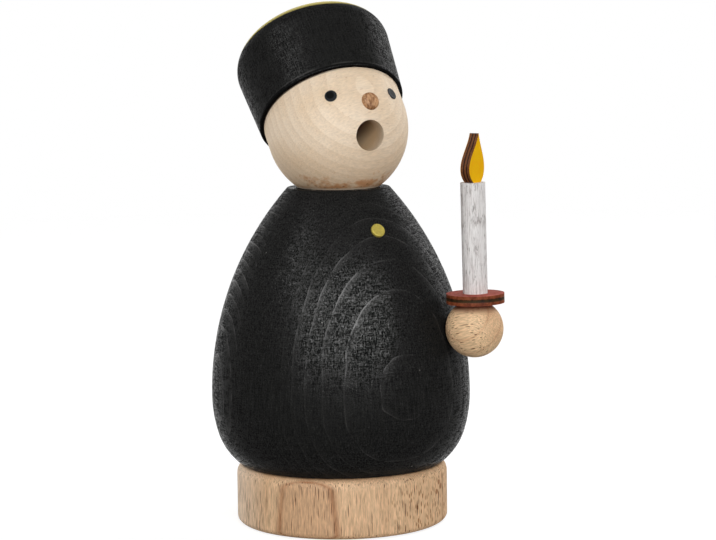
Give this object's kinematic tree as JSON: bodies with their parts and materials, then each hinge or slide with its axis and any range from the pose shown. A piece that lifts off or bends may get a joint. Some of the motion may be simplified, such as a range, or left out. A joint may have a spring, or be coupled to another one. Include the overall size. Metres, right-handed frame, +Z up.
{
  "type": "german incense smoker",
  "caption": "Turned wooden incense smoker: hollow figure in a tilted pillbox hat with a candle in its hand, which lifts off its base to take a cone and smokes from its mouth",
  "frame": {"origin": "middle of the base's underside, on the figure's turning axis", "axes": "+Z up along the turning axis, the figure looks along -Y, its candle hand is on the +X side"},
  "size_m": [0.0686, 0.0743, 0.1374],
  "materials": {
    "beech": "sanded and waxed beech",
    "black_stain": "black stain under a satin lacquer",
    "pale_wood": "sanded pale wood",
    "brown_wood": "brown end grain, sanded round",
    "black_enamel": "black enamel",
    "tin": "pressed tinplate",
    "red_ply": "red-stained plywood with a scorched edge",
    "white_wash": "white wash over a dowel",
    "flame_paint": "yellow paint on plywood with a scorched edge",
    "gold": "matt gold"
  },
  "bodies": {
    "base": {"base_disc": "beech", "incense_dish": "tin", "dish_nail": "tin"},
    "figure": {"body_shell": "black_stain", "neck_tube": "pale_wood", "head": "pale_wood", "nose_peg": "brown_wood", "eye_left": "black_enamel", "eye_right": "black_enamel", "hat": "black_stain", "hand": "beech", "hand_dowel": "beech", "candle_tray": "red_ply", "candle": "white_wash", "flame": "flame_paint", "chest_button": "gold"}
  },
  "joints": [
    {"name": "figure_lift", "type": "slide", "parent": "base", "child": "figure", "axis": [0, 0, 1], "range_m": [0, 0.06]}
  ]
}
